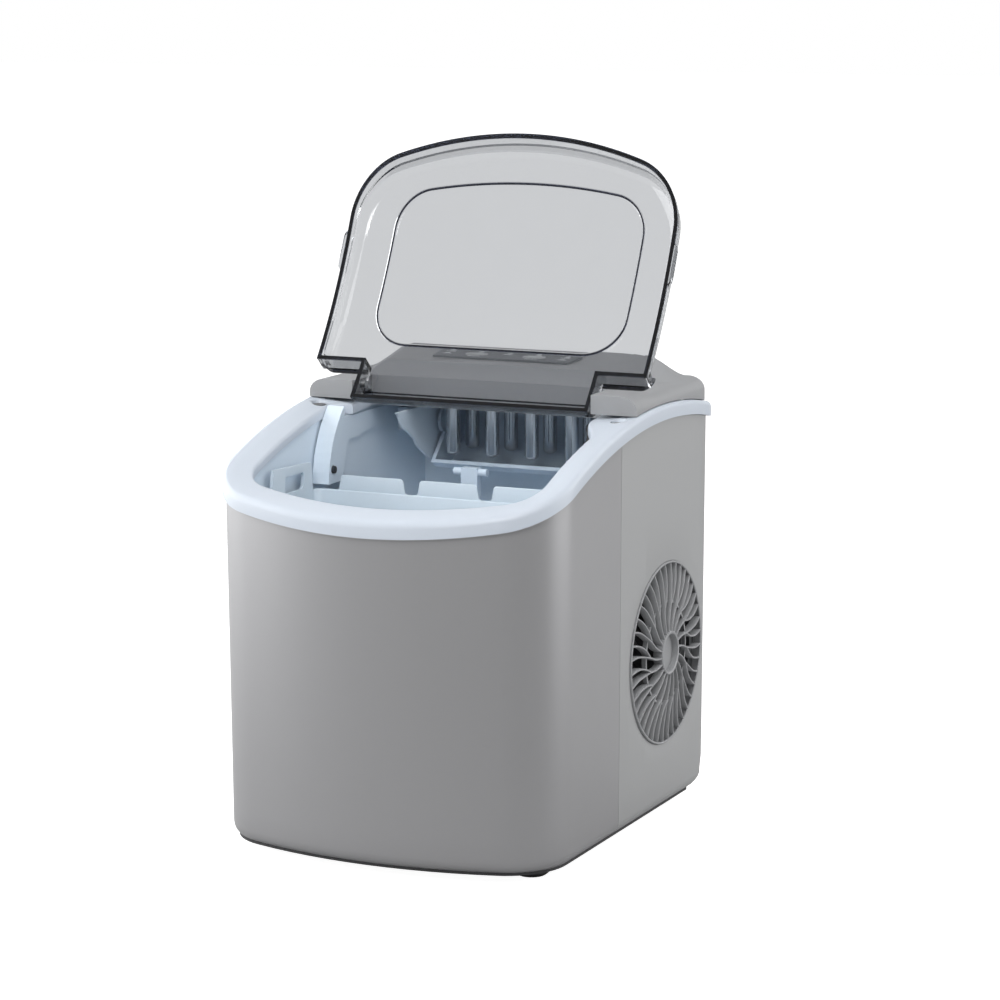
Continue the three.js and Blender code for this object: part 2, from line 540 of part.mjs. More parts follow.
// ---------- pump, refrigeration and electrics ----------
function buildPump() {
  const upTo = (z0, z1, r, sides) => rod([pump.x, pump.y, z0], [pump.x, pump.y, z1], r, sides);
  const body = upTo(tub.floorZ + gap, pump.topZ, pump.r, 20);
  add("water_pump", body.add(upTo(pump.topZ - 1, pump.spoutZ, pump.spoutR, 12)), looks.black);
  const hose = [[pump.x, pump.y, pump.spoutZ + 0.4], [63, -6, 110], [80, -3, 140], [82, 0, 190], [82, 6, 236],
    [80, 30, 256], [70, 52, 260]];
  add("pump_hose", pipe(hose, 3.5, 20, 8), looks.liner);
}

function buildCompressor() {
  const c = compressor;
  const dome = [[0, 0], [c.r - 12, 0], [c.r, 14], [c.r, 88], [c.r - 8, 108], [c.r - 26, 119], [0, 120]];
  const skid = block(c.x - 48, c.x + 48, c.y - 18, c.y + 18, c.floorZ - 3, c.floorZ + 3);
  add("compressor", lathe(dome, c.x, c.y, c.floorZ, 32).add(skid), looks.black);
  for (const [i, x] of c.mounts.entries()) {
    add(`compressor_mount_${i + 1}`, rod([x, c.y, 9.3], [x, c.y, c.floorZ - 3 - gap], 8, 16), looks.rubber);
  }
  const d = drier;
  add("filter_drier", rod([d.x, d.y, d.z0], [d.x, d.y, d.z1], d.r, 16), looks.copper);
  const discharge = [[-44, 70, 150.5], [-44, 72, 162], [-20, 80, 168], [20, 100, 168], [46, 110, 169]];
  add("discharge_pipe", pipe(discharge, 2.5, 14), looks.copper);
  const suction = [[d.x, d.y, d.z1 + 1], [d.x, 130, 160], [d.x, 133.6, 175], [d.x, 133.8, 200],
    [d.x, 133.8, 245]];
  add("suction_pipe", pipe(suction, 2, 12), looks.copper);
}

function buildCondenser() {
  const k = core;
  let finned = block(k.x0, k.x1, k.y0, k.y1, k.z0, k.z1);
  for (let i = 0; i < k.slots; i += 1) {
    const y = k.y0 + 3 + i * k.pitch;
    finned = finned.subtract(block(k.x0 - 2, k.x0 + 12, y, y + 6, k.z0 + 4, k.z1 - 4));
    finned = finned.subtract(block(k.x1 - 12, k.x1 + 2, y, y + 6, k.z0 + 4, k.z1 - 4));
  }
  add("condenser", finned, looks.fins);
}

function buildFan() {
  const h = shroud;
  const frame = (inset) => block(h.x0 + inset, h.x1 - inset,
    grille.y - h.half + inset, grille.y + h.half - inset, h.z0 + inset, h.z1 - inset);
  const ringHole = rod([70, grille.y, grille.z], [130, grille.y, grille.z], fan.r + 3, 32);
  add("fan_shroud", frame(0).subtract(ringHole).subtract(frame(wall)), looks.black);
  const blades = [rod([fan.x0, grille.y, grille.z], [fan.x1, grille.y, grille.z], fan.hub, 24)];
  for (let i = 0; i < fan.blades; i += 1) {
    const blade = new THREE.BoxGeometry(2, 24, fan.r - fan.hub + 3);
    blade.rotateZ(0.75).translate(98, 0, (fan.r + fan.hub - 3) / 2);
    blade.rotateX((2 * Math.PI * i) / fan.blades).translate(0, grille.y, grille.z);
    blades.push(solid(blade));
  }
  const onShaft = (x0, x1, r, sides) => rod([x0, grille.y, grille.z], [x1, grille.y, grille.z], r, sides);
  add("fan_rotor", joined(...blades).subtract(onShaft(80, 104, fan.shaftR + gap, 16)), looks.black);
  const can = onShaft(h.x0 + gap, fan.x0 - 0.5, 17, 24);
  add("fan_motor", can.add(onShaft(fan.x0 - 1, 102, fan.shaftR, 16)), looks.steel);
}

function buildElectrics() {
  const b = board;
  const sheet = block(-b.halfWidth, b.halfWidth, b.y0, b.y1, b.z, b.z + b.thickness);
  const parts = [block(-40, -28, 62, 74, b.z - 6, b.z + 0.1), block(20, 34, 62, 76, b.z - 6, b.z + 0.1)];
  add("control_board", joined(sheet, ...parts), looks.board);
  const at = (y) => [inlet.x, y, inlet.z];
  const inletWall = rod(at(shellBack - 6), at(shellBack + 2.5), 8, 20)
    .add(rod(at(shellBack + gap), at(shellBack + 3), 11, 24));
  const cordHole = rod(at(shellBack - 12), at(shellBack + 8), 4, 16);
  add("cord_inlet", inletWall.subtract(cordHole), looks.black);
}

buildBase();
buildShells();
buildGrille();
buildRim();
buildCover();
buildPanel();
buildLid();
buildTub();
buildSensor();
buildBasket();
buildEvaporator();
buildTray();
buildPusher();
buildPump();
buildCompressor();
buildCondenser();
buildFan();
buildElectrics();

export default group;
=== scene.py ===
"""Looks for the ice maker: detailed pieces in millimetres, each on its CAD body, with studio light."""
import json
import math

import bmesh
import bpy
from mathutils import Matrix, Vector


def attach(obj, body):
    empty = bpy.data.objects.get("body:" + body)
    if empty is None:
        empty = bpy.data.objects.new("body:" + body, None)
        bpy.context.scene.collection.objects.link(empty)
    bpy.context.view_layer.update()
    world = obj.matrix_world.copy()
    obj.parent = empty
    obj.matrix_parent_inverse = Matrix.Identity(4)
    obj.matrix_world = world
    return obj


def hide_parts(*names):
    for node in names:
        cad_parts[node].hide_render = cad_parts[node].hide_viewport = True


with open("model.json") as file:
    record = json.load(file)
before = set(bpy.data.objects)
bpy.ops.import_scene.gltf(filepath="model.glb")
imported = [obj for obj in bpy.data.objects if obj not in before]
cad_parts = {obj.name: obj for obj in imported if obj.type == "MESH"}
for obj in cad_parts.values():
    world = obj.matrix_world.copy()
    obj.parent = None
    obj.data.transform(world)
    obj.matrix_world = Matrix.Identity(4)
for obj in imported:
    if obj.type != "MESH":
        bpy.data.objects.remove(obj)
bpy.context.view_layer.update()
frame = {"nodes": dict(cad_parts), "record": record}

MM = 0.001
MERGE = 1e-6
NOISE_DETAIL, BUMP_HEIGHT = 3, 0.0004

# ---------- driving dimensions, in millimetres ----------
RIM_HALF, RIM_FRONT, RIM_BACK = 120.5, -144.0, 144.0
RIM_HEIGHT, RIM_WIDTH, RIM_DROP = 10.0, 20.0, 3.4
CORNER_R, FRONT_R = 44.3, 291.8
SHELL_HALF, SHELL_FRONT, SHELL_BACK = 118.7, -142.2, 139.2
SHELL_BOTTOM, SHELL_WALL, SHELL_TAPER, BOTTOM_R = 6.0, 2.5, 1.6, 9.0
SEAM_Y = -10.8
PEAK_Y, PEAK_Z, ARCH = 60.0, 267.3, 0.00128
LID_HALF, LID_FRONT, LID_BACK, LID_SKIN = 119.2, -143.8, 13.6, 2.3
LID_PEAK, LID_ARCH, LID_FILLET = 291.6, 0.00115, 10.5
HINGE_Y, HINGE_Z, LID_OPEN = 24.9, 283.8, 133.0
TONGUE_HALF, TONGUE_BACK = 85.4, 40.0
GRILLE_Y, GRILLE_Z, GRILLE_R = 68.7, 111.0, 61.0
GRILLE_PHASE, GRILLE_RIBS, GRILLE_DOME, HUB_R = 13.0, 20, 2.6, 14.3
GRIP_TOP = 240.0
VENT_ROWS, VENT_COLUMNS, VENT_Y, VENT_Z = 3, 9, 24, 60
VENT_PITCH, VENT_ROW_PITCH, VENT_WIDTH, VENT_HEIGHT = 11, 38, 5, 28
SCREW_X, SCREW_Y, SCREW_Z, SCREW_SEAT = 108.0, 8.4, 268.2, 5.0
LEAN = ((5.9, 122.1), (16.4, 131.1), (39.7, 136.1), (52.9, 139.5))
DRAIN_Y, DRAIN_Z, DRAIN_HOLE = -62.0, 60.0, 10.3
INLET_X, INLET_Z, INLET_HOLE = -80.0, 68.0, 8.3
RIM_INNER_BACK = 131.0
WINDOW_HALF, WINDOW_REAR, WINDOW_FRONT, WINDOW_R, WINDOW_BOW = 91.0, -8.7, -122.7, 27.0, 430.0
OPENING_CENTRE = (0.0, -66.0)
FLANGE_BACK, EDGE_HEIGHT = 12.4, 0.9
COVER_HALF, COVER_BACK, COVER_FRONT = 118.0, 142.4, 43.6
EAR_FRONT, EAR_TOP, EAR_FLAT, REAR_FLAT, RECESS_HALF = 14.2, 287.4, 107.0, 129.0, 86.2
PLATEAU_Z, PLATEAU_SLOPE, CREST_Y = 298.0, 0.0674, 107.0
KEY_X, KEY_Y, KEY_HALF, KEY_DEPTH = 21.0, 70.5, 9.0, 4.7
FINGER_R, FINGER_TIP, FINGER_TOP, FINGER_PITCH, FINGER_ROWS = 4.75, 231.0, 273.4, 29.2, (80.0, 110.0)
BASKET_HALF, BASKET_FRONT, BASKET_BACK, BASKET_FLOOR = 97.5, -118.0, -17.0, 150.0
BASKET_TABS = ((-80, -30.5), (-22.5, 22.5), (30.5, 80))
SLOT_PITCH_X, SLOT_PITCH_Y, SLOT_Y, SLOT_HALF, SLOT_WIDTH = 32, 26, -96, 9, 6
LAMP_XS, END_LAMP_XS, PANEL_Y, FILM_LIFT, MARK_HEIGHT = (-42, -21, 0, 21, 42), (-42, 42), 72.0, 1.5, 0.16
PLATEAU_FRONT_Y = 53.6
FLOOR_HALF, FLOOR_GLOW, WORLD_LIGHT = 12.0, 0.95, 0.52
KEY_POWER, TOP_POWER, SIDE_POWER, FILL_POWER = 22.0, 12.0, 10.5, 0.42


def arch(y, lift=0.0):
    return PEAK_Z + lift - ARCH * (y - PEAK_Y) ** 2


def lid_top(y):
    return LID_PEAK - LID_ARCH * (y - PEAK_Y) ** 2


def smooth(t):
    t = min(max(t, 0.0), 1.0)
    return t * t * (3 - 2 * t)


def mix(a, b, t):
    return tuple(p + (q - p) * t for p, q in zip(a, b))


# ---------- materials ----------
def shader(name, color, rough, metal=0.0, **sockets):
    mat = bpy.data.materials.new(name)
    mat.use_nodes = True
    bsdf = mat.node_tree.nodes["Principled BSDF"]
    bsdf.inputs["Base Color"].default_value = (*color, 1)
    bsdf.inputs["Roughness"].default_value = rough
    bsdf.inputs["Metallic"].default_value = metal
    for key, value in sockets.items():
        bsdf.inputs[key.replace("_", " ")].default_value = value
    return mat, bsdf


def grain(mat, bsdf, color, rough, scale, stretch=(1, 1, 1), tint=0.03, rough_by=0.05, bump=0.02):
    """Fine noise in object space that varies colour, roughness and height a little."""
    tree = mat.node_tree
    new = tree.nodes.new
    where = new("ShaderNodeTexCoord")
    mapping = new("ShaderNodeMapping")
    mapping.inputs["Scale"].default_value = stretch
    noise = new("ShaderNodeTexNoise")
    noise.inputs["Scale"].default_value = scale
    noise.inputs["Detail"].default_value = NOISE_DETAIL
    shade = new("ShaderNodeMix")
    shade.data_type = "RGBA"
    shade.inputs["A"].default_value = (*[c * (1 - tint) for c in color], 1)
    shade.inputs["B"].default_value = (*[min(1, c * (1 + tint)) for c in color], 1)
    spread = new("ShaderNodeMapRange")
    spread.inputs["To Min"].default_value = max(0.02, rough - rough_by)
    spread.inputs["To Max"].default_value = rough + rough_by
    raised = new("ShaderNodeBump")
    raised.inputs["Strength"].default_value = bump
    raised.inputs["Distance"].default_value = BUMP_HEIGHT
    link = tree.links.new
    link(where.outputs["Object"], mapping.inputs["Vector"])
    link(mapping.outputs["Vector"], noise.inputs["Vector"])
    link(noise.outputs["Fac"], shade.inputs["Factor"])
    link(shade.outputs["Result"], bsdf.inputs["Base Color"])
    link(noise.outputs["Fac"], spread.inputs["Value"])
    link(spread.outputs["Result"], bsdf.inputs["Roughness"])
    link(noise.outputs["Fac"], raised.inputs["Height"])
    link(raised.outputs["Normal"], bsdf.inputs["Normal"])
    return mat


def moulded(name, color, rough=0.45, scale=900, bump=0.12, tint=0.02):
    mat, bsdf = shader(name, color, rough)
    return grain(mat, bsdf, color, rough, scale, tint=tint, bump=bump)


def metal(name, color, rough, stretch, scale=260, bump=0.06, tint=0.05, amount=1.0):
    mat, bsdf = shader(name, color, rough, amount)
    return grain(mat, bsdf, color, rough, scale, stretch, tint, 0.05, bump)


def clear(name, color, rough, scale=60):
    mat, bsdf = shader(name, color, rough, Transmission_Weight=1.0, IOR=1.45)
    return grain(mat, bsdf, color, rough, scale, tint=0.01, rough_by=0.01, bump=0.0)


LOOK = {
    "silver_steel": metal("satin_silver", (0.385, 0.385, 0.395), 0.36, (1, 1, 12), 420, 0.03, 0.03, 0.7),
    "shell_side": metal("satin_silver_side", (0.385, 0.39, 0.395), 0.46, (1, 1, 1), 900, 0.05, 0.02, 0.45),
    "grey_plastic": moulded("matte_grey", (0.305, 0.31, 0.32), 0.55),
    "white_plastic": moulded("rim_white", (0.54, 0.59, 0.66), 0.32, bump=0.03, tint=0.01),
    "smoky_clear": clear("smoky_pane", (0.485, 0.495, 0.51), 0.04),
    # Near-black glass whose colour paints the shade seen along the lid pane's edges and in its window groove.
    "painted_edge_shade": clear("painted_edge_shade", (0.035, 0.04, 0.06), 0.08),
    "liner_blue": moulded("liner_blue", (0.66, 0.75, 0.84), 0.42, bump=0.05),
    "basket_blue": moulded("basket_blue", (0.55, 0.63, 0.70), 0.36, bump=0.04),
    "tray_blue": moulded("tray_blue_grey", (0.6, 0.7, 0.81), 0.42, bump=0.05),
    "overlay_grey": moulded("panel_film", (0.13, 0.14, 0.155), 0.45, bump=0.03),
    "panel_mark": moulded("panel_mark", (0.66, 0.67, 0.68), 0.5, bump=0.0),
    "key_grey": moulded("key_grey", (0.42, 0.43, 0.44), 0.45),
    "lens_clear": moulded("lens", (0.72, 0.74, 0.76), 0.2, bump=0.0),
    "nickel": metal("nickel", (0.62, 0.62, 0.63), 0.2, (1, 1, 0.02), 500, 0.03, 0.12),
    "steel": metal("bright_steel", (0.36, 0.37, 0.38), 0.32, (1, 1, 1)),
    "screw_zinc": metal("screw_zinc", (0.2, 0.205, 0.21), 0.55, (1, 1, 1), 300, amount=0.3),
    "copper": metal("copper", (0.72, 0.36, 0.2), 0.32, (1, 1, 1), 120),
    "black_paint": moulded("black_enamel", (0.02, 0.02, 0.022), 0.3, 300),
    "black_plastic": moulded("black_moulding", (0.025, 0.025, 0.027), 0.55),
    "rubber": moulded("dull_rubber", (0.03, 0.03, 0.032), 0.8, 500, 0.3),
    "board_green": moulded("board_green", (0.03, 0.16, 0.06), 0.4, 200),
    "fins": metal("fin_aluminium", (0.7, 0.71, 0.73), 0.4, (1, 1, 30), 200),
}


# ---------- mesh tools ----------
class Form:
    """A growing mesh in millimetres."""

    def __init__(self):
        self.verts = []
        self.faces = []

    def loft(self, rows, close_rows=False, close_cols=False, caps=False):
        """Joins equal rows of points with four-sided faces."""
        base = len(self.verts)
        width = len(rows[0])
        for row in rows:
            self.verts.extend(row)
        last = len(rows) if close_rows else len(rows) - 1
        for i in range(last):
            j = (i + 1) % len(rows)
            for k in range(width if close_cols else width - 1):
                m = (k + 1) % width
                self.faces.append((base + i * width + k, base + i * width + m,
                                   base + j * width + m, base + j * width + k))
        if caps:
            self.faces.append(tuple(base + k for k in range(width)))
            self.faces.append(tuple(base + (len(rows) - 1) * width + k for k in reversed(range(width))))
        return self

    def piece(self, name, look, body, nodes=(), angle=35, place=None):
        """Finishes the mesh as a piece that rides on a CAD body and stands for some CAD nodes."""
        return finish_piece(loose(self, name, place), look, body, nodes, angle)


def finish_piece(obj, look, body, nodes=(), angle=35):
    obj.data.materials.clear()
    obj.data.materials.append(LOOK[look])
    soften(obj.data, angle)
    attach(obj, body)
    if nodes:
        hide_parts(*nodes)
    return obj


def soften(mesh, angle):
    mesh.polygons.foreach_set("use_smooth", [True] * len(mesh.polygons))
    mesh.set_sharp_from_angle(angle=math.radians(angle))


def cut(obj, cutters, look, body, nodes=(), angle=30):
    """Cuts closed shapes out of obj, then finishes it."""
    for cutter in cutters:
        mod = obj.modifiers.new("cut", "BOOLEAN")
        mod.operation = "DIFFERENCE"
        mod.solver = "EXACT"
        mod.object = cutter
    depsgraph = bpy.context.evaluated_depsgraph_get()
    mesh = bpy.data.meshes.new_from_object(obj.evaluated_get(depsgraph))
    obj.modifiers.clear()
    obj.data = mesh
    for cutter in cutters:
        bpy.data.objects.remove(cutter)
    return finish_piece(obj, look, body, nodes, angle)


def loose(form, name, place=None):
    """An object in metres from a form; on no body yet."""
    mesh = bpy.data.meshes.new(name)
    mesh.from_pydata([[c * MM for c in v] for v in form.verts], [], form.faces)
    bm = bmesh.new()
    bm.from_mesh(mesh)
    bmesh.ops.remove_doubles(bm, verts=bm.verts, dist=MERGE)
    bmesh.ops.delete(bm, geom=[e for e in bm.edges if e.is_wire], context="EDGES")
    bmesh.ops.recalc_face_normals(bm, faces=bm.faces)
    if place is not None:
        bm.transform(place)
    bm.to_mesh(mesh)
    bm.free()
    obj = bpy.data.objects.new(name, mesh)
    bpy.context.collection.objects.link(obj)
    return obj


def arc(cx, cy, r, start, end, count):
    """Points round a circle, degrees, both ends included."""
    steps = [math.radians(start + (end - start) * i / (count - 1)) for i in range(count)]
    return [(cx + r * math.cos(a), cy + r * math.sin(a)) for a in steps]


def between(a, b, count):
    """Points strictly between a and b."""
    return [mix(a, b, (i + 1) / (count + 1)) for i in range(count)]


def rounded_box(x0, x1, y0, y1, z0, z1, r=0.8, form=None):
    """A box with rounded upright edges and softened top and bottom."""
    form = form or Form()
    corners = [(x1 - r, y1 - r, 0), (x0 + r, y1 - r, 90), (x0 + r, y0 + r, 180), (x1 - r, y0 + r, 270)]
    rows = []
    soft = r * 0.6
    for inset, z in ((soft, z0), (0, z0 + soft), (0, z1 - soft), (soft * 0.3, z1 - soft * 0.3), (soft, z1)):
        row = []
        for cx, cy, start in corners:
            row += [(x, y, z) for x, y in arc(cx, cy, max(r - inset, 0.05), start, start + 90, 5)]
        rows.append(row)
    return form.loft(rows, close_cols=True, caps=True)


def turned_form(profile, centre, axis="Z", sides=32, form=None):
    """A closed shape turned from (radius, height) pairs about an axis through centre."""
    form = form or Form()
    rows = []
    for i in range(sides):
        a = 2 * math.pi * i / sides
        row = []
        for r, h in profile:
            u, v = r * math.cos(a), r * math.sin(a)
            p = {"Z": (u, v, h), "X": (h, u, v), "Y": (v, h, u)}[axis]
            row.append(tuple(c + d for c, d in zip(centre, p)))
        rows.append(row)
    return form.loft(rows, close_rows=True)


def tube(points, r, sides=10, form=None):
    """A closed round bar along points."""
    form = form or Form()
    pts = [Vector(p) for p in points]
    up = Vector((0, 0, 1))
    rows = []
    for i, p in enumerate(pts):
        ahead = (pts[min(i + 1, len(pts) - 1)] - pts[max(i - 1, 0)]).normalized()
        side = ahead.cross(up)
        side = side.normalized() if side.length > 0.05 else Vector((1, 0, 0))
        top = side.cross(ahead).normalized()
        rows.append([tuple(p + side * r * math.cos(a) + top * r * math.sin(a))
                     for a in [2 * math.pi * k / sides for k in range(sides)]])
    return form.loft(rows, close_cols=True, caps=True)


# ---------- plan outlines ----------
def corner_centre(half, front):
    along = math.sqrt((FRONT_R - CORNER_R) ** 2 - (half - CORNER_R) ** 2)
    return front + FRONT_R - along, math.degrees(math.asin(along / (FRONT_R - CORNER_R)))


def front_path(half, front, inset, end_y, side_count=20):
    """The U from the right side at end_y, round the front, to the left side at end_y."""
    centre_y, meet = corner_centre(half, front)
    w = half - inset
    right = [(w, end_y)] + between((w, end_y), (w, centre_y), side_count)
    bend = arc(half - CORNER_R, centre_y, CORNER_R - inset, 0, -meet, 18)
    bow = arc(0, front + FRONT_R, FRONT_R - inset, -meet, -180 + meet, 34)[1:-1]
    back = [(-x, y) for x, y in reversed(right + bend)]
    return right + bend + bow + back


def rear_path(half, back, inset, start_y, rear_r=8.0, side_count=24):
    """The U from the left side at start_y, round the back, to the right side at start_y."""
    w, r = half - inset, max(rear_r - inset, 0.5)
    b = back - inset
    left = [(-w, start_y)] + between((-w, start_y), (-w, b - r), side_count)
    corner = arc(-w + r, b - r, r, 180, 90, 8)
    rear = between((-w + r, b), (w - r, b), 24)
    half_way = left + corner
    return half_way + rear + [(-x, y) for x, y in reversed(half_way)]


# ---------- shells ----------
def drawn_in(x, y, z):
    """The shells draw in a little towards the floor."""
    drop = max(0.0, (PEAK_Z - z) / (PEAK_Z - SHELL_BOTTOM))
    return (x - x / RIM_HALF * SHELL_TAPER * drop, y - min(0.0, y) / 144.0 * SHELL_TAPER * drop, z)


def leaning(z):
    """How far back the rear shell may reach at height z."""
    for (z0, y0), (z1, y1) in zip(LEAN, LEAN[1:]):
        if z < z1:
            return y0 + (y1 - y0) * max(z - z0, 0.0) / (z1 - z0)
    return 200.0


def shell_rows(path_at):
    """Section points up the outside and down the inside, for every plan station."""
    levels = []
    for degrees in (0, 15, 30, 45, 60, 75, 90):
        a = math.radians(degrees)
        levels.append((BOTTOM_R * (1 - math.sin(a)), SHELL_BOTTOM + BOTTOM_R * (1 - math.cos(a)), None))
    for share in (0.05, 0.1, 0.155, 0.3, 0.45, 0.6, 0.75, 0.9, 1.0):
        levels.append((0.0, None, share))
    for share in (1.0, 0.5, 0.155, 0.1, 0.05):
        levels.append((SHELL_WALL, None, share))
    levels.append((BOTTOM_R, SHELL_BOTTOM + SHELL_WALL, None))
    low = SHELL_BOTTOM + BOTTOM_R
    columns = []
    for inset, z, share in levels:
        points = []
        for x, y in path_at(inset):
            height = z if z is not None else low + (arch(y) - low) * share
            points.append(drawn_in(x, min(y, leaning(height) - inset), height))
        columns.append(points)
    return [list(row) for row in zip(*columns)]


def round_cutter(name, centre, axis, r, half, sides=48):
    return loose(turned_form([(0, -half), (r, -half), (r, half), (0, half)], centre, axis, sides), name)


def build_shells():
    front = lambda inset: front_path(SHELL_HALF, SHELL_FRONT, inset, SEAM_Y - 0.15)
    skin = loose(Form().loft(shell_rows(front), close_cols=True, caps=True), "front_shell_skin")
    hole = round_cutter("drain_hole", (-SHELL_HALF, DRAIN_Y, DRAIN_Z), "X", DRAIN_HOLE, 8)
    cut(skin, [hole], "silver_steel", "housing", ["front_shell"])
    rear = lambda inset: rear_path(SHELL_HALF, SHELL_BACK, inset, SEAM_Y + 0.15)
    skin = loose(Form().loft(shell_rows(rear), close_cols=True, caps=True), "rear_shell_skin")
    dish = turned_form([(0, -2.0), (GRILLE_R + 0.4, -0.9), (GRILLE_R + 6.7, 0.1), (GRILLE_R + 6.7, 3), (0, 3)],
                       (SHELL_HALF - SHELL_TAPER * 0.6, GRILLE_Y, GRILLE_Z), "X", 96)
    dish.verts = [(x + (z - GRILLE_Z) * SHELL_TAPER / (PEAK_Z - SHELL_BOTTOM), y, z) for x, y, z in dish.verts]
    cutters = [
        round_cutter("grille_hole", (SHELL_HALF, GRILLE_Y, GRILLE_Z), "X", GRILLE_R + 0.2, 10, 96),
        loose(dish, "grille_dish"),
        round_cutter("inlet_hole", (INLET_X, SHELL_BACK, INLET_Z), "Y", INLET_HOLE, 8),
    ]
    for row in range(VENT_ROWS):
        for column in range(VENT_COLUMNS):
            y, z = VENT_Y + column * VENT_PITCH, VENT_Z + row * VENT_ROW_PITCH
            vent = rounded_box(-130, -100, y, y + VENT_WIDTH, z, z + VENT_HEIGHT, 1.2)
            cutters.append(loose(vent, f"vent_{row}_{column}"))
    cut(skin, cutters, "shell_side", "housing", ["rear_shell"])


def grille_point(r, degrees, back=0.0):
    """A point on the shallow dome of the grille."""
    a = math.radians(degrees)
    x = SHELL_HALF - SHELL_TAPER * 0.6 + GRILLE_DOME * (1 - (r / GRILLE_R) ** 2) - back
    return (x, GRILLE_Y + r * math.cos(a), GRILLE_Z + r * math.sin(a))


def eased(stops, count):
    """Smoothly spaced (radius, angle) points through the stops."""
    points = []
    last = len(stops) - 1
    for k in range(count):
        u = k / (count - 1) * last
        i = min(int(u), last - 1)
        t = u - i
        p = [stops[max(0, min(last, i + d))] for d in (-1, 0, 1, 2)]
        points.append(tuple(0.5 * (2 * b + (c - a) * t + (2 * a - 5 * b + 4 * c - d) * t * t
                                   + (3 * b - a - 3 * c + d) * t ** 3) for a, b, c, d in zip(*p)))
    return points


def grille_rib(form, path, thick=0.55, deep=5.4):
    rows = []
    for i, (r, a) in enumerate(path):
        before, after = path[max(i - 1, 0)], path[min(i + 1, len(path) - 1)]
        ahead = (Vector(grille_point(*after)) - Vector(grille_point(*before))).normalized()
        side = ahead.cross(Vector((1, 0, 0))).normalized()
        here = Vector(grille_point(r, a))
        row = []
        for across, back in ((-thick, 0.3), (-thick * 0.6, 0), (thick * 0.6, 0), (thick, 0.3),
                             (thick, deep), (-thick, deep)):
            row.append(tuple(here + side * across - Vector((back, 0, 0))))
        rows.append(row)
    form.loft(rows, close_cols=True, caps=True)


def build_grille():
    inner = ((13.6, 10), (16, 9), (20, 7.2), (24.5, 4.7), (29, 1.6), (32, 0))
    near = ((32, 0), (36, -1), (43, -2), (51, -2.3), (59.6, -0.6))
    far = ((32, 0), (34, -3.2), (38, -7), (43, -9.4), (50, -10.6), (59.6, -9.6))
    ribs = Form()
    for i in range(GRILLE_RIBS):
        base = GRILLE_PHASE + i * 360 / GRILLE_RIBS
        for stops in (inner, near, far):
            grille_rib(ribs, [(r, base + a) for r, a in eased(stops, 13)])
    x = grille_point(GRILLE_R, 0)[0]
    deep = 5.4
    turned_form([(59.4, -0.3), (59.7, 0.3), (60.5, 0.4), (60.9, 0.0), (60.9, -deep), (59.4, -deep)],
                (x, GRILLE_Y, GRILLE_Z), "X", 96, ribs)
    hub = grille_point(HUB_R, 0)[0]
    turned_form([(0, -3.6), (HUB_R - 2.2, -3.6), (HUB_R - 1.6, 0.2), (HUB_R - 1.1, 0.6), (HUB_R - 0.3, 0.6),
                 (HUB_R + 0.2, 0.1), (HUB_R + 0.3, -deep - 0.6), (0, -deep - 0.6)],
                (hub, GRILLE_Y, GRILLE_Z), "X", 48, ribs)
    turned_form([(33.2, -2.4), (34.8, -2.4), (34.8, -deep), (33.2, -deep)],
                (grille_point(34, 0)[0], GRILLE_Y, GRILLE_Z), "X", 96, ribs)
    ribs.piece("grille_ribs", "grey_plastic", "housing", ["fan_grille"], 40)


# ---------- top rim ----------
def opening_right(y):
    """The opening narrows on the right, where the rim grows into the cover's ear."""
    return 100.5 - 14.3 * smooth((y + 23.0) / 37.0)


def opening_left(y):
    return 100.5 if y < EAR_FRONT - 0.5 else RECESS_HALF


def opened(x, y):
    return max(-opening_left(y), min(opening_right(y), x))


def build_rim():
    outer = front_path(RIM_HALF, RIM_FRONT, 0, SEAM_Y)
    inner = front_path(RIM_HALF, RIM_FRONT, RIM_WIDTH, SEAM_Y)
    outer += rear_path(RIM_HALF, RIM_BACK, 0, SEAM_Y, side_count=50)[1:-1]
    inner += [(x, min(y, RIM_INNER_BACK)) for x, y in outer[len(inner):]]
    inner = [(opened(x, y), y) for x, y in inner]
    rows = []
    for o, n in zip(outer, inner):
        width = math.dist(o, n)
        row = []
        for d, dz in ((0, 0.3), (0, 6.6), (0.3, 8.0), (1.0, 9.2), (2.2, 9.85), (3.6, 10.0),
                      (width * 0.5, 10 - RIM_DROP * 0.5), (width - 2.2, 10.1 - RIM_DROP),
                      (width - 1.0, 9.7 - RIM_DROP), (width - 0.3, 8.8 - RIM_DROP),
                      (width, 7.4 - RIM_DROP), (width, 0.3)):
            x, y = mix(o, n, min(d / width, 1))
            row.append((x, y, arch(y, dz)))
        rows.append(row)
    rim = loose(Form().loft(rows, close_rows=True, close_cols=True), "rim")
    seats = []
    for side in (-1, 1):
        profile = [(0, -3), (SCREW_SEAT, -3), (SCREW_SEAT, 4.2), (SCREW_SEAT + 0.7, 4.9),
                   (SCREW_SEAT + 0.7, 20), (0, 20)]
        seats.append(loose(turned_form(profile, (side * SCREW_X, SCREW_Y, SCREW_Z), "Z", 32), f"seat_{side}"))
    cut(rim, seats, "white_plastic", "housing", ["top_rim"], 50)


